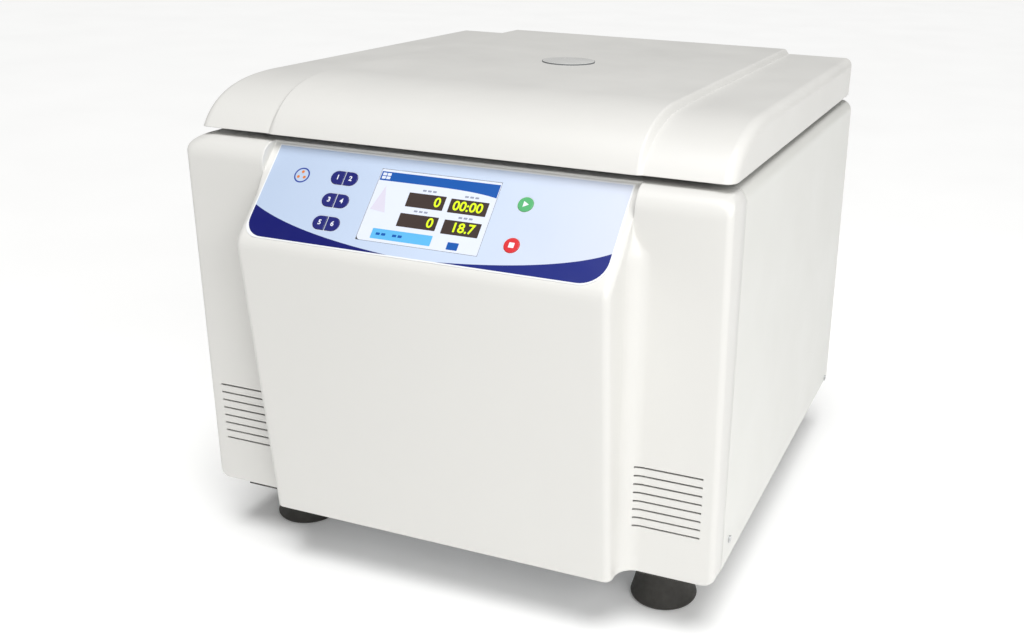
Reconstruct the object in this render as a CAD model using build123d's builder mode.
from build123d import *
import os
from math import cos, hypot, radians, sin

# Benchtop laboratory centrifuge with a four-place swing-out rotor.
# Millimetres. +Z is up, -Y is the front with the control console, +X is the right-hand side.
# The origin is on the bench, under the middle of the object's bounding box.

# ---------------------------------------------------------------- driving dimensions
BODY_HALF = 270.0  # half the width over the side panels, at the top
BASE_HALF = 277.0  # and at the underside, because the sides lean out a little
BODY_BASE = 60.0  # underside of the casing above the bench
BODY_TOP = 425.5  # top of the casing, under the lid
FRONT_Y = -250.0  # flat front on either side of the console
SEAM_Y = -206.0  # where the front moulding meets the side panels, at the top
SEAM_LEAN = 18.0  # the seam comes this much further forward at the underside
REAR_Y = 293.0  # outer face of the rear panel
WALL = 3.0  # moulded plastic walls
SHEET = 1.5  # sheet-metal panels
CORNER_R = 10.0  # upright front corners of the casing
EDGE_R = 10.0  # top edges of the front moulding
FOLD_R = 12.0  # top fold of the side panels
BASE_R = 8.0  # lower corners of the front moulding
BASE_FOLD_R = 6.0  # lower fold of the side panels

CONSOLE_X = 2.0  # the console housing stands a little to the right
CONSOLE_HALF = 183.5  # half the width of the console housing
SLOPE_TOP = (-230.0, 420.0)  # Y, Z where the 45-degree control slope starts
SLOPE_LENGTH = 96.0  # length of the overlay down the slope
CONSOLE_NOSE = (-303.0, 347.0)  # Y, Z where the slope meets the console's face
CONSOLE_TOE_Y = -281.0  # foot of the console's leaning face
NOSE_R = 14.0
CONSOLE_EDGE_R = 7.0
COVE_R = 16.0  # hollow where the console's sides meet the flat front

ROTOR_Y = 50.0  # the spin axis stands at X 0
CHAMBER_R = 195.0
CHAMBER_FLOOR = 222.0
DECK_TOP = 424.0
DECK_THICK = 3.0

PIVOT_R = 95.0  # bucket trunnions from the spin axis
PIVOT_Z = 340.0
BUCKET_R = 41.0
BUCKET_ABOVE = 20.0  # rim above the trunnions
BUCKET_BELOW = 90.0
BUCKET_WALL = 2.5
TRUNNION_PIN_R = 5.0
YOKE_FACE = 50.0  # inner faces of the yoke blocks from the rotor's X and Y planes

LID_HALF = 265.0
LID_LIP_Y = -232.0
LID_BASE = 432.0
LID_SIDE_TOP = 473.0  # the lower bands along the lid's sides
LID_CROWN_TOP = 478.5  # the raised middle of the lid
LID_REAR_Y = 302.5
CROWN_HALF = 180.0
BAND_HALF = 186.5
LID_EDGE_R = 10.0
PLATE_BASE = 431.5  # underside of the lid's steel plate
HINGE_Y, HINGE_Z = 298.0, 427.9
HINGE_X = 150.0
KNUCKLE_R = 3.9
HINGE_PIN_R = 2.0
RUNNING = 0.05  # radial clearance of a running fit

STRIKER_Y = -190.0
LATCH_PIVOT = (-206.0, 362.0)

FOOT_X, FOOT_FRONT_Y, FOOT_REAR_Y = 210.7, -188.0, 235.0
FOOT_BASE_R, FOOT_R, FOOT_WAIST_R, FOOT_NECK_R = 29.2, 33.5, 28.4, 24.0
FOOT_HEIGHT = 56.5
RAIL_X, RAIL_WIDTH = 222.0, 38.0  # chassis rails that the feet screw to

PAN_BASE, PAN_THICK = 61.5, 2.0
PAN_TOP = PAN_BASE + PAN_THICK
MOTOR_PLATE_Z = 186.0

KEY_TRAVEL = 0.6
KEY_X = -94.3  # middle of the programme key pairs
KEY_ROWS = (25.0, 48.7, 72.5)  # distance of each pair down the slope
KEY_LENGTH, KEY_HEIGHT, KEY_SPLIT = 27.6, 14.0, 1.2
ROUND_KEY_X, START_V, STOP_V, ROUND_KEY_R = 87.7, 28.5, 69.0, 7.2
KEY_GAP = 0.25
DISPLAY_WIDTH, DISPLAY_HEIGHT, DISPLAY_V = 120.0, 74.0, 46.8
OVERLAY_LEFT, OVERLAY_RIGHT, OVERLAY_RISE, OVERLAY_THICK = -175.0, 178.5, 3.5, 0.6
OVERLAY_LEFT_R, OVERLAY_RIGHT_R = 15.0, 24.0  # its lower corners

SIDE_SCREWS = ((-200.0, 86.0), (278.0, 68.0))  # Y, Z of the screws in each side

os.makedirs("parts", exist_ok=True)

# The control slope's own plane: X to the right, Y up the slope, Z out of it.
slope = Plane(origin=(0, SLOPE_TOP[0], SLOPE_TOP[1]), x_dir=(1, 0, 0), z_dir=(0, -1, 1))
outward = Axis(slope.origin, slope.z_dir)


def half_width(z):
    """Half the casing's width at a height."""
    return BASE_HALF + (BODY_HALF - BASE_HALF) * (z - BODY_BASE) / (BODY_TOP - BODY_BASE)


def save(piece, label):
    """Names a finished piece and writes its STEP."""
    piece.label = label
    export_step(piece, f"parts/{label}.step")


# ---------------------------------------------------------------- front moulding
def casing_outline(inset):
    """The flat front's outline, shrunk by inset at its sides and top."""
    with BuildSketch() as outline:
        with BuildLine():
            Polyline(
                (inset - BASE_HALF, BODY_BASE - inset),
                (BASE_HALF - inset, BODY_BASE - inset),
                (BODY_HALF - inset, BODY_TOP - inset),
                (inset - BODY_HALF, BODY_TOP - inset),
                close=True,
            )
        make_face()
    return outline.sketch


def casing_front(inset):
    """The block behind the flat front, shrunk by inset on every outer face."""
    with BuildPart() as block:
        with BuildSketch(Plane.XZ.offset(-FRONT_Y - inset)):
            add(casing_outline(inset))
        extrude(amount=FRONT_Y - SEAM_Y)
        front = block.faces().sort_by(Axis.Y)[0]
        fillet(front.edges().sort_by(Axis.Z)[1:3], CORNER_R - inset)
        top = block.faces().sort_by(Axis.Z)[-1]
        fillet(top.edges().sort_by(Axis.Y)[:-1], EDGE_R - inset)
        # Between the console's sides nothing stands above the slope.
        drop = inset * 2**0.5
        with BuildSketch(Plane.YZ.offset(CONSOLE_X - CONSOLE_HALF - inset)):
            with BuildLine():
                Polyline(
                    (SLOPE_TOP[0] - 60, SLOPE_TOP[1] - 60 - drop),
                    (SLOPE_TOP[0] + 20, SLOPE_TOP[1] + 20 - drop),
                    (SLOPE_TOP[0] - 60, SLOPE_TOP[1] + 20 - drop),
                    close=True,
                )
            make_face()
        extrude(amount=2 * (CONSOLE_HALF + inset), mode=Mode.SUBTRACT)
    return block.part


def console_form(inset):
    """The console housing as a rounded prism, shrunk by inset."""
    drop = inset * 2**0.5
    half = CONSOLE_HALF - inset
    nose_y, nose_z = CONSOLE_NOSE
    with BuildPart() as prism:
        with BuildSketch(Plane.YZ.offset(CONSOLE_X - half)):
            with BuildLine():
                Polyline(
                    (SEAM_Y - 30, BODY_BASE - inset),
                    (CONSOLE_TOE_Y + inset, BODY_BASE - inset),
                    (nose_y + inset, nose_z - 0.4 * inset),
                    (SEAM_Y - 30, nose_z + (SEAM_Y - 30 - nose_y) - drop),
                    close=True,
                )
            make_face()
        extrude(amount=2 * half)
        front = prism.faces().sort_by(Axis.Y)[0]
        fillet(front.edges().sort_by(Axis.Z)[-1], NOSE_R - inset)
        outer = prism.edges().filter_by(lambda e: abs(abs(e.center().X - CONSOLE_X) - half) < 0.01)
        bottom_z = BODY_BASE - inset
        rounded = [
            e
            for e in outer
            if e.center().Y < SEAM_Y - 31 and e.center().Z > bottom_z + 1
        ]
        fillet(rounded, CONSOLE_EDGE_R - inset)
    return prism.part


casing_outside, casing_inside = casing_front(0), casing_front(WALL)
console_outside, console_inside = console_form(0), console_form(WALL)


def key_outline(side, grow=0.0):
    """Half of a split oval key, drawn about the middle of its pair; side is -1 or 1."""
    half, straight = KEY_HEIGHT / 2 + grow, KEY_LENGTH / 2 - KEY_HEIGHT / 2
    inner = KEY_SPLIT / 2 - grow
    with BuildSketch() as outline:
        with BuildLine():
            Polyline(
                (side * straight, half),
                (side * inner, half),
                (side * inner, -half),
                (side * straight, -half),
            )
            ThreePointArc(
                (side * straight, -half),
                (side * (straight + half), 0),
                (side * straight, half),
            )
        make_face()
    return outline.sketch


def key_windows():
    """Every opening through the slope: the keys with their gap, and the display."""
    for row in KEY_ROWS:
        with Locations((KEY_X, -row)):
            for side in (-1, 1):
                add(key_outline(side, KEY_GAP))
    with Locations((ROUND_KEY_X, -START_V), (ROUND_KEY_X, -STOP_V)):
        Circle(ROUND_KEY_R + KEY_GAP)
    with Locations((0, -DISPLAY_V)):
        Rectangle(DISPLAY_WIDTH, DISPLAY_HEIGHT)


def seam_wedge():
    """Side view of the strip between an upright at the seam's top and the leaning seam."""
    with BuildSketch() as wedge:
        with BuildLine():
            Polyline(
                (SEAM_Y + 1, BODY_BASE - 1),
                (SEAM_Y - SEAM_LEAN, BODY_BASE - 1),
                (SEAM_Y, BODY_TOP + 1),
                (SEAM_Y + 1, BODY_TOP + 1),
                close=True,
            )
        make_face()
    return wedge.sketch


with BuildPart() as front_panel:
    add(casing_outside)
    add(console_outside)
    # Coves along the console's sides.
    with BuildSketch(Plane.XY.offset(BODY_BASE)):
        for side in (-1, 1):
            wall = CONSOLE_X + side * CONSOLE_HALF
            tip = (wall, FRONT_Y - COVE_R)
            toe = (wall + side * COVE_R, FRONT_Y)
            bend = COVE_R * (1 - cos(radians(45)))
            with BuildLine():
                Polyline(
                    tip,
                    (wall - side * 0.5, FRONT_Y - COVE_R),
                    (wall - side * 0.5, FRONT_Y + 0.5),
                    (toe[0], FRONT_Y + 0.5),
                    toe,
                )
                ThreePointArc(toe, (wall + side * bend, FRONT_Y - bend), tip)
            make_face()
    extrude(amount=SLOPE_TOP[1] + FRONT_Y - SLOPE_TOP[0] - BODY_BASE)
    with BuildSketch(Plane.YZ.offset(CONSOLE_X - CONSOLE_HALF - COVE_R - 1)):
        with BuildLine():
            Polyline(
                (FRONT_Y, SLOPE_TOP[1] + FRONT_Y - SLOPE_TOP[0]),
                (FRONT_Y - 60, SLOPE_TOP[1] + FRONT_Y - SLOPE_TOP[0] - 60),
                (FRONT_Y - 60, SLOPE_TOP[1]),
                (FRONT_Y, SLOPE_TOP[1]),
                close=True,
            )
        make_face()
    extrude(amount=2 * (CONSOLE_HALF + COVE_R + 1), mode=Mode.SUBTRACT)
    add(casing_inside, mode=Mode.SUBTRACT)
    add(console_inside, mode=Mode.SUBTRACT)
    # Rounded lower corners, and a rear edge that leans with the seam.
    with BuildSketch(Plane.XZ.offset(-CONSOLE_NOSE[0] + 1)):
        outline = add(casing_outline(0))
        fillet(outline.vertices().group_by(Axis.Y)[0], BASE_R)
    extrude(amount=CONSOLE_NOSE[0] - 2, mode=Mode.INTERSECT)
    with BuildSketch(Plane.YZ.offset(-BASE_HALF - 1)):
        add(seam_wedge())
    extrude(amount=2 * BASE_HALF + 2, mode=Mode.SUBTRACT)
    # Eight cooling slots in each flat.
    VENT_COUNT, VENT_PITCH, VENT_TOP = 8, 8.7, 170.5
    VENT_LENGTH, VENT_HEIGHT, VENT_X = 65.0, 1.8, 228.0
    with BuildSketch(Plane.XZ.offset(-FRONT_Y - 10)):
        for side in (-1, 1):
            with Locations((side * VENT_X, VENT_TOP - VENT_PITCH * (VENT_COUNT - 1) / 2)):
                with GridLocations(1, VENT_PITCH, 1, VENT_COUNT):
                    SlotOverall(VENT_LENGTH, VENT_HEIGHT)
    extrude(amount=30, mode=Mode.SUBTRACT)
    with BuildSketch(slope.offset(-8)):
        key_windows()
    extrude(amount=12, mode=Mode.SUBTRACT)
save(front_panel.part, "front_panel")

# ---------------------------------------------------------------- console
with BuildPart() as control_overlay:
    with BuildSketch(slope) as overlay_outline:
        with BuildLine():
            Polyline(
                (OVERLAY_LEFT, OVERLAY_RISE),
                (OVERLAY_RIGHT, OVERLAY_RISE),
                (OVERLAY_RIGHT, -SLOPE_LENGTH),
                (OVERLAY_LEFT, -SLOPE_LENGTH),
                close=True,
            )
        make_face()
        fillet(overlay_outline.vertices().group_by(Axis.Y)[0].sort_by(Axis.X)[0], OVERLAY_LEFT_R)
        fillet(overlay_outline.vertices().group_by(Axis.Y)[0].sort_by(Axis.X)[-1], OVERLAY_RIGHT_R)
        with BuildSketch(mode=Mode.PRIVATE) as windows:
            key_windows()
        add(windows.sketch, mode=Mode.SUBTRACT)
    extrude(amount=OVERLAY_THICK)
save(control_overlay.part, "control_overlay")

KEY_TOP, KEY_FOOT, KEY_FLANGE = 1.3, -4.2, 1.0


def programme_key(number):
    """A split-oval key with a retaining flange under the console's wall."""
    row, side = KEY_ROWS[(number - 1) // 2], (-1, 1)[(number - 1) % 2]
    middle = slope.origin + slope.x_dir * KEY_X - slope.y_dir * row
    key_plane = Plane(origin=middle, x_dir=slope.x_dir, z_dir=slope.z_dir)
    with BuildPart() as key:
        with BuildSketch(key_plane.offset(KEY_FOOT)):
            add(key_outline(side))
        extrude(amount=KEY_TOP - KEY_FOOT)
        fillet(key.faces().sort_by(outward)[-1].edges(), 0.4)
        with BuildSketch(key_plane.offset(KEY_FOOT)):
            with Locations((side * (KEY_LENGTH / 4 + 0.6), 0)):
                Rectangle(KEY_LENGTH / 2 - 0.4, KEY_HEIGHT + 2 * KEY_FLANGE)
        extrude(amount=0.8)
    return key.part


for number in range(1, 7):
    save(programme_key(number), f"programme_key_{number}")


def round_key(v):
    """A round key with a retaining flange."""
    middle = slope.origin + slope.x_dir * ROUND_KEY_X - slope.y_dir * v
    key_plane = Plane(origin=middle, x_dir=slope.x_dir, z_dir=slope.z_dir)
    with BuildPart() as key:
        with BuildSketch(key_plane.offset(KEY_FOOT)):
            Circle(ROUND_KEY_R)
        extrude(amount=KEY_TOP - KEY_FOOT)
        fillet(key.edges().sort_by(outward)[-1], 0.5)
        with BuildSketch(key_plane.offset(KEY_FOOT)):
            Circle(ROUND_KEY_R + KEY_FLANGE)
        extrude(amount=0.8)
    return key.part


save(round_key(START_V), "start_key")
save(round_key(STOP_V), "stop_key")

with BuildPart() as display_module:
    # Glass up in the window, metal frame and backlight behind it.
    with BuildSketch(slope.offset(-3.2)):
        with Locations((0, -DISPLAY_V)):
            Rectangle(DISPLAY_WIDTH + 6, DISPLAY_HEIGHT + 5)
    extrude(amount=-6)
    with BuildSketch(slope.offset(-3.2)):
        with Locations((0, -DISPLAY_V)):
            Rectangle(DISPLAY_WIDTH - 0.6, DISPLAY_HEIGHT - 0.6)
    extrude(amount=3.2 + OVERLAY_THICK - 0.2)
save(display_module.part, "display_module")

BOARD_TOP = -12.4
with BuildPart() as control_board:
    with BuildSketch(slope.offset(BOARD_TOP)):
        with Locations((0, -52)):
            Rectangle(250, 76)
    extrude(amount=-1.6)
    # A tactile switch behind each key.
    with BuildSketch(slope.offset(BOARD_TOP)):
        for row in KEY_ROWS:
            for side in (-1, 1):
                with Locations((KEY_X + side * KEY_LENGTH / 4, -row)):
                    Rectangle(6, 6)
        with Locations((ROUND_KEY_X, -START_V), (ROUND_KEY_X, -STOP_V)):
            Rectangle(6, 6)
    extrude(amount=KEY_FOOT - KEY_TRAVEL - 0.2 - BOARD_TOP)
    # Pillars that hold the display, and the connector and processor behind.
    with BuildSketch(slope.offset(BOARD_TOP)):
        with Locations((0, -DISPLAY_V)):
            with GridLocations(DISPLAY_WIDTH - 6, DISPLAY_HEIGHT - 10, 2, 2):
                Circle(2.5)
    extrude(amount=-9.2 - BOARD_TOP)
    with BuildSketch(slope.offset(BOARD_TOP - 1.6)):
        with Locations((-30, -45)):
            Rectangle(24, 24)
        with Locations((50, -40)):
            Rectangle(50, 9)
    extrude(amount=-4)
save(control_board.part, "control_board")

# ---------------------------------------------------------------- casing panels
with BuildPart() as top_deck:
    with BuildSketch(Plane.XY.offset(DECK_TOP - DECK_THICK)):
        with Locations((0, (SEAM_Y + REAR_Y - SHEET) / 2)):
            Rectangle(2 * (BODY_HALF - 12), REAR_Y - SHEET - SEAM_Y)
        with Locations((0, ROTOR_Y)):
            Circle(CHAMBER_R + 1, mode=Mode.SUBTRACT)
        with Locations((0, STRIKER_Y)):
            Rectangle(40, 18, mode=Mode.SUBTRACT)
    extrude(amount=DECK_THICK)
save(top_deck.part, "top_deck")


def side_panel(side):
    """A folded sheet: upright wall, with flanges turned in at its top and bottom."""
    with BuildPart() as panel:
        with BuildSketch(Plane.XZ.offset(-REAR_Y)):
            with BuildLine():
                FilletPolyline(
                    (side * (BODY_HALF - 22), BODY_TOP - SHEET / 2),
                    (side * (BODY_HALF - SHEET / 2), BODY_TOP - SHEET / 2),
                    (side * (BASE_HALF - SHEET / 2), BODY_BASE + SHEET / 2),
                    (side * (BASE_HALF - 18), BODY_BASE + SHEET / 2),
                    radius=[FOLD_R, BASE_FOLD_R - SHEET / 2],
                )
            trace(line_width=SHEET)
        extrude(amount=REAR_Y - SEAM_Y + SEAM_LEAN)
        with BuildSketch(Plane.YZ.offset(-BASE_HALF - 5)):
            with BuildLine():
                Polyline(
                    (SEAM_Y, BODY_TOP + 1),
                    (SEAM_Y - SEAM_LEAN, BODY_BASE - 1),
                    (SEAM_Y - SEAM_LEAN - 1, BODY_TOP + 1),
                    close=True,
                )
            make_face()
            with Locations(*SIDE_SCREWS):
                Circle(2.1)
        extrude(amount=2 * BASE_HALF + 10, mode=Mode.SUBTRACT)
    return panel.part


save(side_panel(-1), "side_panel_left")
save(side_panel(1), "side_panel_right")

FAN_X, FAN_Z, FAN_SIZE, FAN_DUCT_R = -150.0, 135.0, 80.0, 37.5
INLET_X, INLET_Z = 175.0, 110.0
SWITCH_X = 120.0
with BuildPart() as rear_panel:
    with BuildSketch(Plane.XZ.offset(-REAR_Y)):
        with BuildLine():
            FilletPolyline(
                (SHEET + 0.3 - BASE_HALF, BODY_BASE + SHEET),
                (BASE_HALF - SHEET - 0.3, BODY_BASE + SHEET),
                (BODY_HALF - SHEET - 0.3, BODY_TOP - SHEET),
                (SHEET + 0.3 - BODY_HALF, BODY_TOP - SHEET),
                radius=[BASE_FOLD_R, BASE_FOLD_R, FOLD_R, FOLD_R],
                close=True,
            )
        make_face()
        with Locations((FAN_X, FAN_Z)):
            Circle(FAN_DUCT_R, mode=Mode.SUBTRACT)
            with GridLocations(71.5, 71.5, 2, 2):
                Circle(2.2, mode=Mode.SUBTRACT)
        with Locations((INLET_X, INLET_Z)):
            Rectangle(28, 21, mode=Mode.SUBTRACT)
        with Locations((SWITCH_X, INLET_Z)):
            Rectangle(22, 29, mode=Mode.SUBTRACT)
        for x in (-110, 0, 110):
            with Locations((x, 300)):
                with GridLocations(1, 9, 1, 9):
                    SlotOverall(80, 3, mode=Mode.SUBTRACT)
    extrude(amount=SHEET)
save(rear_panel.part, "rear_panel")

PAN_HALF = BASE_HALF - BASE_FOLD_R - 0.4
with BuildPart() as base_pan:
    with BuildSketch(Plane.XY.offset(PAN_BASE)):
        with Locations((0, (FRONT_Y + WALL + REAR_Y - SHEET) / 2)):
            Rectangle(2 * PAN_HALF, REAR_Y - SHEET - FRONT_Y - WALL - 1)
        with Locations((CONSOLE_X, (CONSOLE_TOE_Y + FRONT_Y) / 2 + 5)):
            Rectangle(2 * (CONSOLE_HALF - WALL - 9), FRONT_Y - CONSOLE_TOE_Y)
        for y in (FOOT_FRONT_Y, FOOT_REAR_Y):
            with Locations((-FOOT_X, y), (FOOT_X, y)):
                Circle(4.2, mode=Mode.SUBTRACT)
        with Locations((0, ROTOR_Y)):
            with GridLocations(20, 14, 6, 6):
                SlotOverall(14, 4, mode=Mode.SUBTRACT)
        # The pan's front corners clear the rounded casing.
        for side in (-1, 1):
            with Locations((side * PAN_HALF, FRONT_Y)):
                Rectangle(24, 24, rotation=45, mode=Mode.SUBTRACT)
    extrude(amount=PAN_THICK)
    # Side flanges with bosses that the panels screw to.
    with BuildSketch(Plane.XY.offset(PAN_BASE)):
        for side in (-1, 1):
            with Locations((side * (PAN_HALF - 1.25), (SEAM_Y + REAR_Y - SHEET) / 2)):
                Rectangle(2.5, REAR_Y - SHEET - SEAM_Y - 2)
    extrude(amount=32)
    for side in (-1, 1):
        for y, z in SIDE_SCREWS:
            with BuildSketch(Plane(origin=(side * PAN_HALF, y, z), z_dir=(side, 0, 0))):
                Circle(4.5)
            extrude(amount=half_width(z) - SHEET - 0.2 - PAN_HALF)
    with BuildSketch(Plane.YZ.offset(-BASE_HALF - 5)):
        with Locations(*SIDE_SCREWS):
            Circle(1.9)
    extrude(amount=2 * BASE_HALF + 10, mode=Mode.SUBTRACT)
save(base_pan.part, "base_pan")

RAIL_FRONT_Y, RAIL_REAR_Y = FRONT_Y + WALL + 0.5, REAR_Y - 2
with BuildPart() as chassis_rails:
    # Two shallow steel trays under the pan, open at the top.
    with BuildSketch(Plane.XY.offset(FOOT_HEIGHT)):
        for side in (-1, 1):
            with Locations((side * RAIL_X, (RAIL_FRONT_Y + RAIL_REAR_Y) / 2)):
                Rectangle(RAIL_WIDTH, RAIL_REAR_Y - RAIL_FRONT_Y)
    extrude(amount=PAN_BASE - FOOT_HEIGHT)
    with BuildSketch(Plane.XY.offset(FOOT_HEIGHT + 2)):
        for side in (-1, 1):
            with Locations((side * RAIL_X, (RAIL_FRONT_Y + RAIL_REAR_Y) / 2)):
                Rectangle(RAIL_WIDTH - 4, RAIL_REAR_Y - RAIL_FRONT_Y - 4)
    extrude(amount=PAN_BASE - FOOT_HEIGHT - 2, mode=Mode.SUBTRACT)
    with BuildSketch(Plane.XY.offset(FOOT_HEIGHT)):
        for y in (FOOT_FRONT_Y, FOOT_REAR_Y):
            with Locations((-FOOT_X, y), (FOOT_X, y)):
                Circle(4.2)
    extrude(amount=2, mode=Mode.SUBTRACT)
save(chassis_rails.part, "chassis_rails")

# ---------------------------------------------------------------- feet
FOOT_SEAT = 20.0
FEET = [(x, y) for x in (-FOOT_X, FOOT_X) for y in (FOOT_FRONT_Y, FOOT_REAR_Y)]
with BuildPart() as feet:
    # Four flared rubber feet, each with a sunk seat for its screw.
    for x, y in FEET:
        with BuildSketch(Plane(origin=(x, y, 0), x_dir=(1, 0, 0), z_dir=(0, -1, 0))):
            with BuildLine():
                Polyline(
                    (FOOT_NECK_R, FOOT_HEIGHT),
                    (4.2, FOOT_HEIGHT),
                    (4.2, FOOT_SEAT),
                    (9, FOOT_SEAT),
                    (9, 0),
                    (FOOT_BASE_R, 0),
                )
                ThreePointArc((FOOT_BASE_R, 0), (FOOT_R - 1.2, 1.6), (FOOT_R, 5))
                ThreePointArc((FOOT_R, 5), (FOOT_WAIST_R, 24), (FOOT_NECK_R, FOOT_HEIGHT))
            make_face()
        revolve(axis=Axis((x, y, 0), (0, 0, 1)))
save(feet.part, "feet")

# The level screws' heads just clear the leaning side panels.
SCREW_SHIM = 0.08
with BuildPart() as casing_screws:
    # Cross-head screws through the side panels.
    for side in (-1, 1):
        for y, z in SIDE_SCREWS:
            seat = half_width(z) + SCREW_SHIM
            head = Plane(origin=(side * seat, y, z), z_dir=(side, 0, 0))
            with BuildSketch(head):
                Circle(3.6)
            extrude(amount=1.4)
            with BuildSketch(head):
                Circle(1.8)
            extrude(amount=-9)
            with BuildSketch(head.offset(0.7)):
                Rectangle(4, 0.8)
                Rectangle(0.8, 4)
            extrude(amount=1, mode=Mode.SUBTRACT)
    # Screws up through the feet, with their nuts on the pan.
    for x, y in FEET:
        with Locations((x, y, FOOT_SEAT - 5)):
            Cylinder(7, 5, align=(Align.CENTER, Align.CENTER, Align.MIN))
        with Locations((x, y, FOOT_SEAT)):
            Cylinder(4, PAN_TOP + 12 - FOOT_SEAT, align=(Align.CENTER, Align.CENTER, Align.MIN))
        with BuildSketch(Plane.XY.offset(PAN_TOP)):
            with Locations((x, y)):
                RegularPolygon(7.5, 6)
        extrude(amount=6.5)
save(casing_screws.part, "casing_screws")

# ---------------------------------------------------------------- chamber
BOWL_THICK, BOWL_CORNER_R, BOWL_HOLE_R, RIM_R = 1.5, 25.0, 36.0, 214.0
BOWL_RIM_Z = DECK_TOP - DECK_THICK - BOWL_THICK
spin_section = Plane(origin=(0, ROTOR_Y, 0), x_dir=(1, 0, 0), z_dir=(0, -1, 0))
spin_axis = Axis((0, ROTOR_Y, 0), (0, 0, 1))
with BuildPart() as chamber_bowl:
    with BuildSketch(spin_section):
        with BuildLine():
            FilletPolyline(
                (BOWL_HOLE_R, CHAMBER_FLOOR - BOWL_THICK / 2),
                (CHAMBER_R + BOWL_THICK / 2, CHAMBER_FLOOR - BOWL_THICK / 2),
                (CHAMBER_R + BOWL_THICK / 2, BOWL_RIM_Z + BOWL_THICK / 2),
                (RIM_R, BOWL_RIM_Z + BOWL_THICK / 2),
                radius=[BOWL_CORNER_R, 4],
            )
        trace(line_width=BOWL_THICK)
    revolve(axis=spin_axis)
save(chamber_bowl.part, "chamber_bowl")

GUARD_R, GUARD_THICK, GUARD_BASE, GUARD_LEG_R = 203.0, 5.0, 212.0, 9.0
with BuildPart() as guard_ring:
    with BuildSketch(Plane.XY.offset(GUARD_BASE)):
        with Locations((0, ROTOR_Y)):
            Circle(GUARD_R + GUARD_THICK)
            Circle(GUARD_R, mode=Mode.SUBTRACT)
    extrude(amount=BOWL_RIM_Z - 1 - GUARD_BASE)
    # Four legs welded under the ring stand on the base pan.
    with BuildSketch(Plane.XY.offset(PAN_TOP)):
        with Locations((0, ROTOR_Y)):
            with PolarLocations(GUARD_R + GUARD_THICK / 2, 4, start_angle=45):
                Circle(GUARD_LEG_R)
    extrude(amount=GUARD_BASE - PAN_TOP)
save(guard_ring.part, "guard_ring")

SEAL_IN, SEAL_OUT = 199.0, 211.0
with BuildPart() as chamber_gasket:
    with BuildSketch(spin_section):
        with BuildLine():
            Polyline(
                (SEAL_IN, DECK_TOP),
                (SEAL_OUT, DECK_TOP),
                (SEAL_OUT - 2, PLATE_BASE - 2.5),
                (SEAL_IN + 6, PLATE_BASE),
                (SEAL_IN + 2, PLATE_BASE - 2.5),
                close=True,
            )
        make_face()
    revolve(axis=spin_axis)
save(chamber_gasket.part, "chamber_gasket")

# ---------------------------------------------------------------- motor
SHAFT_R, BEARING_R, BEARING_H = 9.0, 19.0, 12.0
STATOR_R, STATOR_BASE, STATOR_TOP = 62.0, 92.0, 172.0
SNOUT_R, SNOUT_TOP = 26.0, 256.0
LOWER_BEARING_Z, UPPER_BEARING_Z = 80.0, SNOUT_TOP - 4 - BEARING_H
SHAFT_BASE, SHAFT_TOP, TAPER_BASE = 74.0, 360.0, 318.0


def ring_solid(outer, inner, low, high):
    """A plain ring about the spin axis."""
    with BuildPart() as ring:
        with BuildSketch(Plane.XY.offset(low)):
            with Locations((0, ROTOR_Y)):
                Circle(outer)
                Circle(inner, mode=Mode.SUBTRACT)
        extrude(amount=high - low)
    return ring.part


with BuildPart() as motor_lower_bell:
    with BuildSketch(spin_section):
        with BuildLine():
            Polyline(
                (BEARING_R, LOWER_BEARING_Z - 2),
                (BEARING_R + 8, LOWER_BEARING_Z - 2),
                (BEARING_R + 10, STATOR_BASE - 8),
                (STATOR_R + 4, STATOR_BASE - 6),
                (STATOR_R + 4, STATOR_BASE),
                (BEARING_R, STATOR_BASE),
                close=True,
            )
        make_face()
    revolve(axis=spin_axis)
save(motor_lower_bell.part, "motor_lower_bell")

with BuildPart() as motor_upper_bell:
    with BuildSketch(spin_section):
        with BuildLine():
            Polyline(
                (SHAFT_R + 3, STATOR_TOP),
                (STATOR_R + 4, STATOR_TOP),
                (STATOR_R + 4, MOTOR_PLATE_Z + 6),
                (STATOR_R + 22, MOTOR_PLATE_Z + 6),
                (STATOR_R + 22, MOTOR_PLATE_Z + 14),
                (SNOUT_R + 4, MOTOR_PLATE_Z + 18),
                (SNOUT_R, MOTOR_PLATE_Z + 26),
                (SNOUT_R, SNOUT_TOP),
                (BEARING_R - 4, SNOUT_TOP),
                (BEARING_R - 4, SNOUT_TOP - 4),
                (BEARING_R, SNOUT_TOP - 4),
                (BEARING_R, UPPER_BEARING_Z),
                (SHAFT_R + 3, UPPER_BEARING_Z),
                close=True,
            )
        make_face()
    revolve(axis=spin_axis)
save(motor_upper_bell.part, "motor_upper_bell")

with BuildPart() as motor_stator:
    add(ring_solid(STATOR_R, 34, STATOR_BASE, STATOR_TOP))
    # Cooling ribs along the can.
    with BuildSketch(Plane.XY.offset(STATOR_BASE + 4)):
        with Locations((0, ROTOR_Y)):
            with PolarLocations(STATOR_R + 1, 24):
                Rectangle(5, 2.2)
    extrude(amount=STATOR_TOP - STATOR_BASE - 8)
save(motor_stator.part, "motor_stator")
save(ring_solid(32.5, SHAFT_R, STATOR_BASE + 8, STATOR_TOP - 8), "motor_armature")

with BuildPart() as motor_bearings:
    for low in (LOWER_BEARING_Z, UPPER_BEARING_Z):
        add(ring_solid(BEARING_R, BEARING_R - 3, low, low + BEARING_H))
        add(ring_solid(SHAFT_R + 3.5, SHAFT_R + RUNNING, low, low + BEARING_H))
        with BuildSketch(Plane.XY.offset(low + 4)):
            with Locations((0, ROTOR_Y)):
                Circle(BEARING_R - 3)
                Circle(SHAFT_R + 3.5, mode=Mode.SUBTRACT)
        extrude(amount=4)
save(motor_bearings.part, "motor_bearings")

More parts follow.
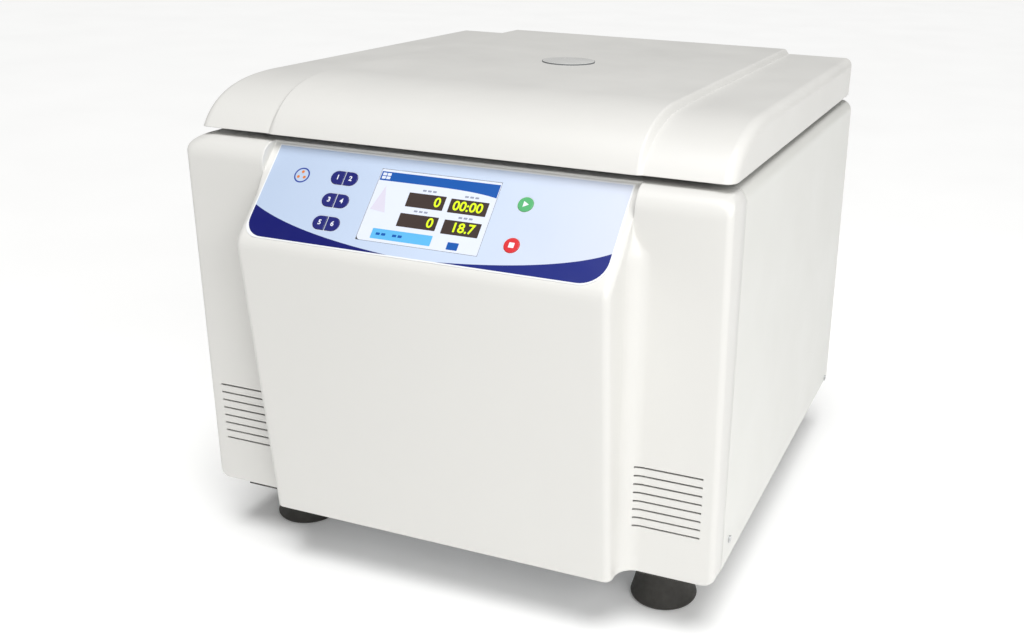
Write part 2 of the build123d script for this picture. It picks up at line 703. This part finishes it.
with BuildPart() as motor_shaft:
    with BuildSketch(spin_section):
        with BuildLine():
            Polyline(
                (0, SHAFT_BASE),
                (SHAFT_R, SHAFT_BASE),
                (SHAFT_R, TAPER_BASE),
                (SHAFT_R - 2, SHAFT_TOP - 20),
                (SHAFT_R - 4, SHAFT_TOP - 20),
                (SHAFT_R - 4, SHAFT_TOP),
                (0, SHAFT_TOP),
                close=True,
            )
        make_face()
    revolve(axis=spin_axis)
save(motor_shaft.part, "motor_shaft")

MOUNT_SPREAD = 150.0
with BuildPart() as motor_plate:
    with BuildSketch(Plane.XY.offset(MOTOR_PLATE_Z)):
        with Locations((0, ROTOR_Y)):
            RectangleRounded(MOUNT_SPREAD + 44, MOUNT_SPREAD + 44, 22)
            Circle(STATOR_R + 5, mode=Mode.SUBTRACT)
            with GridLocations(MOUNT_SPREAD, MOUNT_SPREAD, 2, 2):
                Circle(4.2, mode=Mode.SUBTRACT)
    extrude(amount=6)
save(motor_plate.part, "motor_plate")

with BuildPart() as vibration_mounts:
    with BuildSketch(Plane.XY.offset(MOTOR_PLATE_Z - 26)):
        with Locations((0, ROTOR_Y)):
            with GridLocations(MOUNT_SPREAD, MOUNT_SPREAD, 2, 2):
                Circle(15)
                Circle(4.2, mode=Mode.SUBTRACT)
    extrude(amount=26)
    waist = vibration_mounts.edges().filter_by(GeomType.CIRCLE).filter_by(lambda e: e.radius > 10)
    chamfer(waist, 3)
save(vibration_mounts.part, "vibration_mounts")

with BuildPart() as motor_posts:
    with BuildSketch(Plane.XY.offset(PAN_TOP)):
        with Locations((0, ROTOR_Y)):
            with GridLocations(MOUNT_SPREAD, MOUNT_SPREAD, 2, 2):
                Circle(10)
    extrude(amount=MOTOR_PLATE_Z - 26 - PAN_TOP)
    with BuildSketch(Plane.XY.offset(MOTOR_PLATE_Z - 26)):
        with Locations((0, ROTOR_Y)):
            with GridLocations(MOUNT_SPREAD, MOUNT_SPREAD, 2, 2):
                Circle(4)
    extrude(amount=36)
    with BuildSketch(Plane.XY.offset(MOTOR_PLATE_Z + 6)):
        with Locations((0, ROTOR_Y)):
            with GridLocations(MOUNT_SPREAD, MOUNT_SPREAD, 2, 2):
                RegularPolygon(7.5, 6)
    extrude(amount=6)
save(motor_posts.part, "motor_posts")

with BuildPart() as shaft_boot:
    # Rubber boot that closes the bowl's floor round the motor's snout.
    with BuildSketch(spin_section):
        with BuildLine():
            Polyline(
                (SNOUT_R + 0.1, CHAMBER_FLOOR + 8),
                (SNOUT_R + 4, CHAMBER_FLOOR + 8),
                (BOWL_HOLE_R + 8, CHAMBER_FLOOR + 3),
                (BOWL_HOLE_R + 8, CHAMBER_FLOOR),
                (BOWL_HOLE_R - 0.5, CHAMBER_FLOOR),
                (SNOUT_R + 0.1, CHAMBER_FLOOR + 3),
                close=True,
            )
        make_face()
    revolve(axis=spin_axis)
save(shaft_boot.part, "shaft_boot")

# ---------------------------------------------------------------- rotor
YOKE_LOW, YOKE_HIGH = PIVOT_Z - 13, PIVOT_Z + 13
HUB_R, HUB_LOW, HUB_HIGH = 44.0, 300.0, 365.0
with BuildPart() as rotor_yoke:
    with BuildSketch(Plane.XY.offset(YOKE_LOW)):
        for quarter in range(4):
            with Locations(Location((0, ROTOR_Y, 0), (0, 0, 90 * quarter))):
                Polygon(
                    (0, 0),
                    (YOKE_FACE + 4, YOKE_FACE - 20),
                    (YOKE_FACE + 10, YOKE_FACE),
                    (YOKE_FACE + 62, YOKE_FACE),
                    (YOKE_FACE + 62, YOKE_FACE + 22),
                    (YOKE_FACE + 22, YOKE_FACE + 62),
                    (YOKE_FACE, YOKE_FACE + 62),
                    (YOKE_FACE, YOKE_FACE + 10),
                    (YOKE_FACE - 20, YOKE_FACE + 4),
                    align=None,
                )
    extrude(amount=YOKE_HIGH - YOKE_LOW)
    upright = rotor_yoke.edges().filter_by(Axis.Z)
    fillet(upright.filter_by(lambda e: hypot(e.center().X, e.center().Y - ROTOR_Y) > 100), 5)
    with BuildSketch(spin_section):
        with BuildLine():
            Polyline(
                (0, HUB_LOW),
                (24, HUB_LOW),
                (HUB_R, YOKE_LOW - 4),
                (HUB_R, YOKE_HIGH + 4),
                (30, HUB_HIGH),
                (0, HUB_HIGH),
                close=True,
            )
        make_face()
    revolve(axis=spin_axis)
    # Lightening pockets in the yoke blocks.
    with BuildSketch(Plane.XY.offset(YOKE_HIGH)):
        with Locations((0, ROTOR_Y)):
            with PolarLocations(100, 4, start_angle=45):
                Circle(17)
    extrude(amount=-14, mode=Mode.SUBTRACT)
    # The shaft's seat, with its taper.
    with BuildSketch(spin_section):
        with BuildLine():
            Polyline(
                (0, HUB_LOW - 1),
                (SHAFT_R, HUB_LOW - 1),
                (SHAFT_R, TAPER_BASE),
                (SHAFT_R - 2, SHAFT_TOP - 20),
                (SHAFT_R - 2, HUB_HIGH + 1),
                (0, HUB_HIGH + 1),
                close=True,
            )
        make_face()
    revolve(axis=spin_axis, mode=Mode.SUBTRACT)
save(rotor_yoke.part, "rotor_yoke")

BOSS_FACE = 47.5
PIN_TIP = 42.0
with BuildPart() as trunnion_pins:
    for quarter in range(4):
        for side in (-1, 1):
            turn = radians(90 * quarter)
            x = PIVOT_R * cos(turn) - side * YOKE_FACE * sin(turn)
            y = PIVOT_R * sin(turn) + side * YOKE_FACE * cos(turn) + ROTOR_Y
            away = (-side * sin(turn), side * cos(turn), 0)
            with BuildSketch(Plane(origin=(x, y, PIVOT_Z), z_dir=away)):
                Circle(TRUNNION_PIN_R)
            extrude(amount=-(YOKE_FACE - PIN_TIP))
save(trunnion_pins.part, "trunnion_pins")

KNOB_R, KNOB_LOW, KNOB_HIGH = 25.0, HUB_HIGH + 0.3, 392.0
with BuildPart() as rotor_knob:
    with BuildSketch(Plane.XY.offset(KNOB_LOW)):
        with Locations((0, ROTOR_Y)):
            Circle(KNOB_R)
            with PolarLocations(KNOB_R + 3, 10):
                Circle(6, mode=Mode.SUBTRACT)
    extrude(amount=KNOB_HIGH - KNOB_LOW)
    fillet(rotor_knob.faces().sort_by(Axis.Z)[-1].edges(), 2.0)
    with Locations((0, ROTOR_Y, KNOB_HIGH)):
        Hole(3.5, depth=10)
save(rotor_knob.part, "rotor_knob")


def trunnion_plane(centre, across, side, reach):
    """The plane across a bucket's trunnion axis, reach from the bucket's middle."""
    x, y = centre[0] + side * across[0] * reach, centre[1] + side * across[1] * reach
    return Plane(origin=(x, y, PIVOT_Z), z_dir=tuple(side * a for a in across))


def bucket(quarter):
    """A round swing-out bucket hanging from two trunnion bosses."""
    turn = radians(90 * quarter)
    centre = (PIVOT_R * cos(turn), PIVOT_R * sin(turn) + ROTOR_Y)
    across = (-sin(turn), cos(turn), 0)
    section = Plane(origin=(*centre, PIVOT_Z), x_dir=(1, 0, 0), z_dir=(0, -1, 0))
    with BuildPart() as cup:
        with BuildSketch(section):
            with BuildLine():
                FilletPolyline(
                    (0, -BUCKET_BELOW),
                    (BUCKET_R, -BUCKET_BELOW),
                    (BUCKET_R, BUCKET_ABOVE - 5),
                    (BUCKET_R + 1.5, BUCKET_ABOVE - 4),
                    (BUCKET_R + 1.5, BUCKET_ABOVE),
                    radius=[14, 1, 1],
                )
                Polyline((BUCKET_R + 1.5, BUCKET_ABOVE), (0, BUCKET_ABOVE), (0, -BUCKET_BELOW))
            make_face()
        revolve(axis=Axis((*centre, 0), (0, 0, 1)))
        for side in (-1, 1):
            with BuildSketch(trunnion_plane(centre, across, side, 30)):
                Circle(9.5)
            extrude(amount=BOSS_FACE - 30)
        with BuildSketch(section):
            with BuildLine():
                FilletPolyline(
                    (0, -BUCKET_BELOW + 4),
                    (BUCKET_R - BUCKET_WALL, -BUCKET_BELOW + 4),
                    (BUCKET_R - BUCKET_WALL, BUCKET_ABOVE + 1),
                    radius=11,
                )
                Polyline(
                    (BUCKET_R - BUCKET_WALL, BUCKET_ABOVE + 1),
                    (0, BUCKET_ABOVE + 1),
                    (0, -BUCKET_BELOW + 4),
                )
            make_face()
        revolve(axis=Axis((*centre, 0), (0, 0, 1)), mode=Mode.SUBTRACT)
        for side in (-1, 1):
            with BuildSketch(trunnion_plane(centre, across, side, BOSS_FACE)):
                Circle(TRUNNION_PIN_R + RUNNING)
            extrude(amount=-(BOSS_FACE - PIN_TIP + 0.4), mode=Mode.SUBTRACT)
    return cup.part


for quarter in range(4):
    save(bucket(quarter), f"bucket_{quarter + 1}")

# ---------------------------------------------------------------- lid
def lid_outline(lip, crest, rear, top):
    """Side view of the lid: flat base, curved front, flat top and upright rear."""
    with BuildSketch() as outline:
        with BuildLine():
            Bezier(lip, *crest)
            Polyline(crest[-1], (rear, top), (rear, LID_BASE), lip)
        make_face()
    return outline.sketch


def lid_section(rise, inset):
    """Side view of the lid, from its low side bands, 0, to its raised middle, 1."""
    top = LID_SIDE_TOP + rise * (LID_CROWN_TOP - LID_SIDE_TOP) - inset
    lip = (LID_LIP_Y - 2 * rise + 2 * inset, LID_BASE)
    crest = (
        (-213 - 10 * rise + 1.4 * inset, 461 - 4 * rise - 2 * inset),
        (-178 - 18 * rise + inset, top),
        (-115 - 15 * rise, top),
    )
    return lid_outline(lip, crest, LID_REAR_Y - inset, top)


# How far the bevel between the bands and the middle has risen, at even steps across it.
BEVEL_RISE = (1.0, 0.9, 0.6, 0.2, -0.25)


def lid_form(inset):
    """The lid's outer or inner form: bands, crown and the bevels between them."""
    half = LID_HALF - inset
    crown_half = CROWN_HALF - inset / 2
    bevel_step = (BAND_HALF - CROWN_HALF) / (len(BEVEL_RISE) - 1)
    with BuildPart() as form:
        with BuildSketch(Plane.YZ.offset(-half)):
            add(lid_section(0, inset))
        extrude(amount=2 * half)
        edges = form.edges().filter_by(lambda e: abs(abs(e.center().X) - half) < 0.01)
        round_these = edges.filter_by(lambda e: e.center().Z > LID_BASE + 1)
        fillet(round_these, LID_EDGE_R - inset)
        with BuildSketch(Plane.YZ.offset(-crown_half)):
            add(lid_section(1, inset))
        extrude(amount=2 * crown_half)
        for side in (-1, 1):
            for step, rise in enumerate(BEVEL_RISE):
                with BuildSketch(Plane.YZ.offset(side * (crown_half + bevel_step * step))):
                    add(lid_section(rise, inset))
            loft()
    return form.part


WINDOW_R, WINDOW_SINK, WINDOW_RISE = 28.5, 2.4, 1.6
with BuildPart() as lid_cover:
    add(lid_form(0))
    add(lid_form(WALL), mode=Mode.SUBTRACT)
    with BuildSketch(Plane.XY.offset(LID_CROWN_TOP)):
        with Locations((0, ROTOR_Y)):
            Circle(WINDOW_R)
    extrude(amount=-WINDOW_SINK, mode=Mode.SUBTRACT)
    with BuildSketch(Plane.XY.offset(LID_CROWN_TOP)):
        with Locations((0, ROTOR_Y)):
            Circle(22)
    extrude(amount=-6, mode=Mode.SUBTRACT)
save(lid_cover.part, "lid_cover")

LID_PLATE_THICK = 2.0
with BuildPart() as lid_plate:
    with BuildSketch(Plane.XY.offset(PLATE_BASE)):
        with Locations((0, (LID_LIP_Y + 9 + 291) / 2)):
            RectangleRounded(2 * (LID_HALF - 6), 291 - LID_LIP_Y - 9, 8)
        with Locations((0, ROTOR_Y)):
            Circle(22, mode=Mode.SUBTRACT)
    extrude(amount=LID_PLATE_THICK)
save(lid_plate.part, "lid_plate")

with BuildPart() as lid_liner:
    # Dished disc that plugs the chamber's mouth.
    with BuildSketch(spin_section):
        with BuildLine():
            Polyline(
                (22, PLATE_BASE),
                (22, PLATE_BASE - 3),
                (40, PLATE_BASE - 3),
                (CHAMBER_R - 22, PLATE_BASE - 3),
                (CHAMBER_R - 14, PLATE_BASE - 9),
                (CHAMBER_R - 6, PLATE_BASE - 9),
                (CHAMBER_R - 6, PLATE_BASE),
                close=True,
            )
        make_face()
    revolve(axis=spin_axis)
save(lid_liner.part, "lid_liner")

with BuildPart() as sight_window:
    # A clear disc on a light guide that reaches down through the liner.
    with BuildSketch(Plane.XY.offset(LID_CROWN_TOP - WINDOW_SINK)):
        with Locations((0, ROTOR_Y)):
            Circle(WINDOW_R - 0.3)
    extrude(amount=WINDOW_SINK + WINDOW_RISE)
    fillet(sight_window.edges().sort_by(Axis.Z)[-1], 0.6)
    with BuildSketch(Plane.XY.offset(LID_CROWN_TOP - WINDOW_SINK)):
        with Locations((0, ROTOR_Y)):
            Circle(21.7)
    extrude(amount=-(LID_CROWN_TOP - WINDOW_SINK - PLATE_BASE + 3))
save(sight_window.part, "sight_window")

STRIKER_WIRE_R, STRIKER_HALF, STRIKER_LOW = 3.0, 11.0, 396.0
with BuildPart() as lid_striker:
    with BuildLine() as striker_path:
        FilletPolyline(
            (-STRIKER_HALF, STRIKER_Y, PLATE_BASE),
            (-STRIKER_HALF, STRIKER_Y, STRIKER_LOW),
            (STRIKER_HALF, STRIKER_Y, STRIKER_LOW),
            (STRIKER_HALF, STRIKER_Y, PLATE_BASE),
            radius=5,
        )
    with BuildSketch(Plane(origin=(-STRIKER_HALF, STRIKER_Y, PLATE_BASE), z_dir=(0, 0, -1))):
        Circle(STRIKER_WIRE_R)
    sweep(path=striker_path.wire())
save(lid_striker.part, "lid_striker")

# ---------------------------------------------------------------- hinges
HINGE_HALF, MIDDLE_HALF = 36.0, 11.0
STRAP_Y = 262.0


def hinge_knuckle(x, low, high):
    """A barrel round the hinge axis from low to high along X, about hinge x."""
    return Plane(origin=(x + low, HINGE_Y, HINGE_Z), z_dir=(1, 0, 0)), high - low


with BuildPart() as hinge_brackets:
    for x in (-HINGE_X, HINGE_X):
        for low, high in ((-HINGE_HALF, -HINGE_HALF + 14), (HINGE_HALF - 14, HINGE_HALF)):
            barrel, length = hinge_knuckle(x, low, high)
            with BuildSketch(barrel):
                Circle(KNUCKLE_R)
            extrude(amount=length)
            with Locations((x + (low + high) / 2, (STRAP_Y + HINGE_Y) / 2, BODY_TOP + 1.0)):
                Box(high - low, HINGE_Y - STRAP_Y, 1.8)
            with BuildSketch(barrel):
                Circle(HINGE_PIN_R)
            extrude(amount=length, mode=Mode.SUBTRACT)
        # Cross strap that joins the two arms and its spacer on the deck.
        with Locations((x, STRAP_Y - 6, (DECK_TOP + BODY_TOP + 1.9) / 2)):
            Box(2 * HINGE_HALF, 14, BODY_TOP + 1.9 - DECK_TOP)
save(hinge_brackets.part, "hinge_brackets")

with BuildPart() as hinge_leaves:
    for x in (-HINGE_X, HINGE_X):
        barrel, length = hinge_knuckle(x, -MIDDLE_HALF, MIDDLE_HALF)
        with BuildSketch(barrel):
            Circle(KNUCKLE_R)
        extrude(amount=length)
        with Locations((x, (STRAP_Y + HINGE_Y) / 2, PLATE_BASE - 0.9)):
            Box(2 * MIDDLE_HALF, HINGE_Y - STRAP_Y, 1.8)
        with BuildSketch(barrel):
            Circle(HINGE_PIN_R + RUNNING)
        extrude(amount=length, mode=Mode.SUBTRACT)
save(hinge_leaves.part, "hinge_leaves")

with BuildPart() as hinge_pins:
    for x in (-HINGE_X, HINGE_X):
        with BuildSketch(Plane(origin=(x - HINGE_HALF, HINGE_Y, HINGE_Z), z_dir=(1, 0, 0))):
            Circle(HINGE_PIN_R)
        extrude(amount=2 * HINGE_HALF)
        for end in (-1, 1):
            with BuildSketch(Plane(origin=(x + end * HINGE_HALF, HINGE_Y, HINGE_Z), z_dir=(end, 0, 0))):
                Circle(HINGE_PIN_R + 1.2)
            extrude(amount=1.5)
save(hinge_pins.part, "hinge_pins")

SPRING_WIRE_R, SPRING_R = 0.5, 3.1
with BuildPart() as hinge_springs:
    for x in (-HINGE_X, HINGE_X):
        for low in (-HINGE_HALF + 15.2, MIDDLE_HALF + 1.2):
            start = (x + low, HINGE_Y, HINGE_Z)
            coil = Helix(1.3, 8.6, SPRING_R, center=start, direction=(1, 0, 0), mode=Mode.PRIVATE)
            with BuildSketch(Plane(origin=coil @ 0, z_dir=coil % 0)):
                Circle(SPRING_WIRE_R)
            sweep(path=coil, is_frenet=True)
save(hinge_springs.part, "hinge_springs")

# ---------------------------------------------------------------- lid lock
LATCH_HALF, CHEEK = 17.0, 2.0
with BuildPart() as latch_frame:
    # Two cheeks joined by a floor, hung from the deck.
    for side in (-1, 1):
        with BuildSketch(Plane.YZ.offset(side * LATCH_HALF - CHEEK / 2)):
            with BuildLine():
                Polyline(
                    (-222, 345),
                    (-178, 345),
                    (-178, DECK_TOP - DECK_THICK),
                    (-204, DECK_TOP - DECK_THICK),
                    (-222, 385),
                    close=True,
                )
            make_face()
        extrude(amount=CHEEK)
        with Locations((side * (LATCH_HALF + 7), -190, DECK_TOP - DECK_THICK - 1)):
            Box(12 + CHEEK, 22, 2)
    with Locations((0, -200, 346)):
        Box(2 * LATCH_HALF, 44, 2)
    with BuildSketch(Plane.YZ.offset(-LATCH_HALF - 3)):
        with Locations(LATCH_PIVOT):
            Circle(3)
    extrude(amount=2 * LATCH_HALF + 6)
save(latch_frame.part, "latch_frame")

HOOK_REACH, HOOK_LEAN = 47.0, 108.0
with BuildPart() as latch_hook:
    # Drawn standing back from the striker, as it is with the lid free.
    lean = radians(HOOK_LEAN)
    hook_plane = Plane(origin=(-4, *LATCH_PIVOT), x_dir=(0, cos(lean), sin(lean)), z_dir=(1, 0, 0))
    with BuildSketch(hook_plane):
        with BuildLine():
            Polyline(
                (-8, -6),
                (8, -7),
                (HOOK_REACH - 5, -6),
                (HOOK_REACH - 6, -22),
                (HOOK_REACH, -23),
                (HOOK_REACH + 5, -8),
                (HOOK_REACH + 3, 4),
                (8, 7),
                (-8, 6),
                close=True,
            )
        make_face()
        Circle(3 + RUNNING, mode=Mode.SUBTRACT)
    extrude(amount=8)
save(latch_hook.part, "latch_hook")

with BuildPart() as latch_solenoid:
    with Locations((0, -236, 359)):
        Box(24, 20, 22)
    with BuildSketch(Plane(origin=(0, -226, 354), z_dir=(0, 1, 0))):
        Circle(3)
    extrude(amount=3.0)
save(latch_solenoid.part, "latch_solenoid")

# ---------------------------------------------------------------- power and control electronics
with BuildPart() as drive_board:
    with Locations((-20, -214, 190)):
        Box(260, 1.6, 170)
    for x, z, height in ((-110, 150, 40), (-70, 150, 40), (-110, 220, 34), (-70, 220, 34)):
        with BuildSketch(Plane(origin=(x, -214.8, z), z_dir=(0, -1, 0))):
            Circle(14)
        extrude(amount=height - 10)
    with Locations((30, -222, 230)):
        Box(50, 14.4, 30)
    with Locations((30, -219, 140)):
        Box(70, 8.4, 18)
save(drive_board.part, "drive_board")

with BuildPart() as drive_heat_sink:
    # A finned plate whose two feet stand on the base pan.
    with Locations((-20, -208.2, 190)):
        Box(200, 6, 120)
    for fin in range(15):
        with Locations((14 * fin - 118, -198, 190)):
            Box(2.5, 15, 120)
    for x in (-90, 50):
        with Locations((x, -208.2, (PAN_TOP + 131) / 2)):
            Box(30, 6, 131 - PAN_TOP)
        with Locations((x, -200, PAN_TOP + 2)):
            Box(30, 22, 4)
save(drive_heat_sink.part, "drive_heat_sink")

with BuildPart() as power_inlet:
    with BuildSketch(Plane.XZ.offset(-REAR_Y - 2.5)):
        with Locations((INLET_X, INLET_Z)):
            RectangleRounded(50, 31, 4)
    extrude(amount=2.5)
    with BuildSketch(Plane.XZ.offset(-REAR_Y)):
        with Locations((INLET_X, INLET_Z)):
            Rectangle(27.4, 20.4)
    extrude(amount=24)
    with BuildSketch(Plane.XZ.offset(-REAR_Y - 2.5)):
        with BuildLine():
            Polyline(
                (INLET_X - 12, INLET_Z - 8),
                (INLET_X + 12, INLET_Z - 8),
                (INLET_X + 12, INLET_Z + 3),
                (INLET_X + 7, INLET_Z + 8),
                (INLET_X - 7, INLET_Z + 8),
                (INLET_X - 12, INLET_Z + 3),
                close=True,
            )
        make_face()
    extrude(amount=18.5, mode=Mode.SUBTRACT)
    for dx, dz in ((-7, -1), (7, -1), (0, 3.2)):
        with Locations((INLET_X + dx, REAR_Y - 16 + 5.5, INLET_Z + dz)):
            Box(2, 11, 3.8)
    for dx in (-7, 0, 7):
        with Locations((INLET_X + dx, REAR_Y - 24 - 4, INLET_Z)):
            Box(5, 8, 0.8)
save(power_inlet.part, "power_inlet")

ROCKER_PIVOT_Y = REAR_Y - 3.0
ROCKER_HALF_W, ROCKER_SWING = 9.0, 7.0
with BuildPart() as power_switch:
    with BuildSketch(Plane.XZ.offset(-REAR_Y - 2.0)):
        with Locations((SWITCH_X, INLET_Z)):
            RectangleRounded(25, 32, 2)
    extrude(amount=2.0)
    with BuildSketch(Plane.XZ.offset(-REAR_Y)):
        with Locations((SWITCH_X, INLET_Z)):
            Rectangle(21.4, 28.4)
    extrude(amount=22)
    with BuildSketch(Plane.XZ.offset(-REAR_Y - 2.0)):
        with Locations((SWITCH_X, INLET_Z)):
            Rectangle(2 * ROCKER_HALF_W + 0.8, 25)
    extrude(amount=13, mode=Mode.SUBTRACT)
    for dz in (-8, 8):
        with Locations((SWITCH_X, REAR_Y - 22 - 4, INLET_Z + dz)):
            Box(6, 8, 0.8)
    with BuildSketch(Plane.YZ.offset(SWITCH_X - ROCKER_HALF_W - 0.4)):
        with Locations((ROCKER_PIVOT_Y, INLET_Z)):
            Circle(1.2)
    extrude(amount=2 * ROCKER_HALF_W + 0.8)
save(power_switch.part, "power_switch")

with BuildPart() as power_rocker:
    # Stands tipped to its off side.
    tip = radians(-ROCKER_SWING)
    pivot = (SWITCH_X - ROCKER_HALF_W, ROCKER_PIVOT_Y, INLET_Z)
    rocker_plane = Plane(origin=pivot, x_dir=(0, cos(tip), sin(tip)), z_dir=(1, 0, 0))
    with BuildSketch(rocker_plane):
        with BuildLine():
            Polyline(
                (-4, -3),
                (-4, 3),
                (1, 11.4),
                (6.6, 11.4),
                (4.4, 0),
                (6.6, -11.4),
                (1, -11.4),
                close=True,
            )
        make_face()
        Circle(1.2 + RUNNING, mode=Mode.SUBTRACT)
    extrude(amount=2 * ROCKER_HALF_W)
save(power_rocker.part, "power_rocker")

# ---------------------------------------------------------------- cooling fan
FAN_DEPTH = 25.0
FAN_BACK = REAR_Y - SHEET
fan_face = Plane(origin=(FAN_X, FAN_BACK, FAN_Z), x_dir=(1, 0, 0), z_dir=(0, -1, 0))
fan_axis = Axis((FAN_X, 0, FAN_Z), (0, 1, 0))
FAN_HUB_R, FAN_STEM_R = 16.0, 2.0
with BuildPart() as fan_frame:
    with BuildSketch(fan_face):
        RectangleRounded(FAN_SIZE, FAN_SIZE, 4)
        Circle(FAN_DUCT_R, mode=Mode.SUBTRACT)
        with GridLocations(71.5, 71.5, 2, 2):
            Circle(2.2, mode=Mode.SUBTRACT)
    extrude(amount=FAN_DEPTH)
    with BuildSketch(fan_face.offset(FAN_DEPTH - 3)):
        Circle(FAN_HUB_R)
        with PolarLocations(26, 4, start_angle=20):
            Rectangle(26, 3.5)
    extrude(amount=3)
    with BuildSketch(fan_face.offset(FAN_DEPTH - 12)):
        Circle(FAN_STEM_R)
    extrude(amount=9)
save(fan_frame.part, "fan_frame")

with BuildPart() as fan_impeller:
    with BuildSketch(fan_face.offset(2)):
        Circle(FAN_HUB_R)
    extrude(amount=FAN_DEPTH - 6)
    with BuildSketch(fan_face.offset(FAN_DEPTH - 13)):
        Circle(FAN_STEM_R + RUNNING)
    extrude(amount=12, mode=Mode.SUBTRACT)
    for blade in range(7):
        turn = 360 / 7 * blade
        with Locations(fan_face.offset(11.5)):
            with Locations(Location((0, 0, 0), (0, 0, turn))):
                with Locations(Location((25.4, 0, 0), (35, 0, 0))):
                    Box(20.4, 18, 1.2)
save(fan_impeller.part, "fan_impeller")

with BuildPart() as fan_guard:
    # Wire rings on the outside of the rear panel.
    guard_face = Plane(origin=(FAN_X, REAR_Y, FAN_Z), x_dir=(1, 0, 0), z_dir=(0, 1, 0))
    for ring_r in (10, 18, 26, 34, 42):
        with BuildSketch(guard_face.offset(1.6)):
            Circle(ring_r + 0.9)
            Circle(ring_r - 0.9, mode=Mode.SUBTRACT)
        extrude(amount=1.6)
    with BuildSketch(guard_face):
        with PolarLocations(30.5, 4, start_angle=45):
            Rectangle(42, 1.8)
        with GridLocations(71.5, 71.5, 2, 2):
            Circle(4)
    extrude(amount=1.8)
save(fan_guard.part, "fan_guard")
